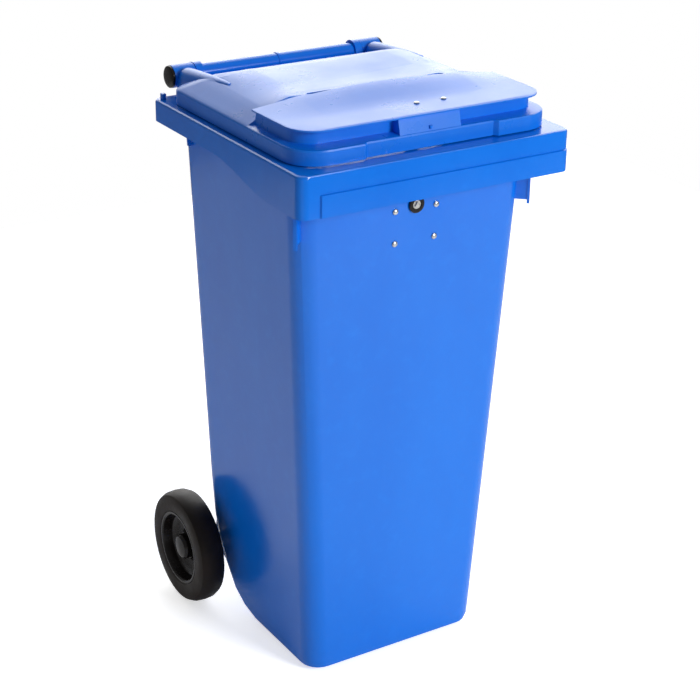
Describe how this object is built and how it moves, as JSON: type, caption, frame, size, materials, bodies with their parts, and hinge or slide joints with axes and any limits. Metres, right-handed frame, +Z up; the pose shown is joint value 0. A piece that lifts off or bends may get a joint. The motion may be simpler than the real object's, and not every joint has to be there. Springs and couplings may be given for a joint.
{
  "type": "wheelie bin",
  "caption": "Two-wheeled plastic waste bin with a tapered body, deep rim, rear handle, hinged paper-slot lid and a triangular-key front lock.",
  "frame": {"origin": "on the ground, at the centre of the bin's footprint box", "axes": "+X is the bin's right, -Y is its front with the lock, +Y is the handle and wheel side, +Z is up"},
  "size_m": [0.48, 0.526, 0.9714],
  "materials": {
    "blue_hdpe": "satin injection-moulded polyethylene",
    "blue_hdpe_lid": "satin injection-moulded polyethylene, slightly glossier",
    "black_plastic": "glossy black moulding",
    "tyre_rubber": "solid rubber",
    "zinc_steel": "bright zinc plate",
    "axle_steel": "zinc-plated rod"
  },
  "bodies": {
    "body": {"container": "blue_hdpe", "hinge_pin_left": "black_plastic", "hinge_pin_right": "black_plastic", "axle": "axle_steel", "axle_washer_left": "zinc_steel", "axle_washer_right": "zinc_steel", "lock_case": "black_plastic", "lock_bezel": "black_plastic", "lock_screw_1": "zinc_steel", "lock_screw_2": "zinc_steel", "lock_screw_3": "zinc_steel", "lock_screw_4": "zinc_steel", "lock_nut_1": "zinc_steel", "lock_nut_2": "zinc_steel", "lock_nut_3": "zinc_steel", "lock_nut_4": "zinc_steel"},
    "lid_body": {"lid": "blue_hdpe_lid", "lid_striker": "zinc_steel", "lid_rivet_left": "zinc_steel", "lid_rivet_right": "zinc_steel"},
    "wheel_left": {"wheel_hub_left": "black_plastic", "tyre_left": "tyre_rubber", "hub_cap_left": "black_plastic"},
    "wheel_right": {"wheel_hub_right": "black_plastic", "tyre_right": "tyre_rubber", "hub_cap_right": "black_plastic"},
    "lock": {"lock_spindle": "zinc_steel", "lock_cam": "zinc_steel"}
  },
  "joints": [
    {"name": "lid_hinge", "type": "hinge", "parent": "body", "child": "lid_body", "pos_m": [0, 0.224, 0.929], "axis": [-1, 0, 0], "range_deg": [0, 250]},
    {"name": "wheel_left_spin", "type": "hinge", "parent": "body", "child": "wheel_left", "pos_m": [-0.2165, 0.163, 0.1], "axis": [1, 0, 0], "continuous": true},
    {"name": "wheel_right_spin", "type": "hinge", "parent": "body", "child": "wheel_right", "pos_m": [0.2165, 0.163, 0.1], "axis": [1, 0, 0], "continuous": true},
    {"name": "lock_turn", "type": "hinge", "parent": "body", "child": "lock", "pos_m": [0, -0.15, 0.807], "axis": [0, 1, 0], "range_deg": [0, 90]}
  ]
}
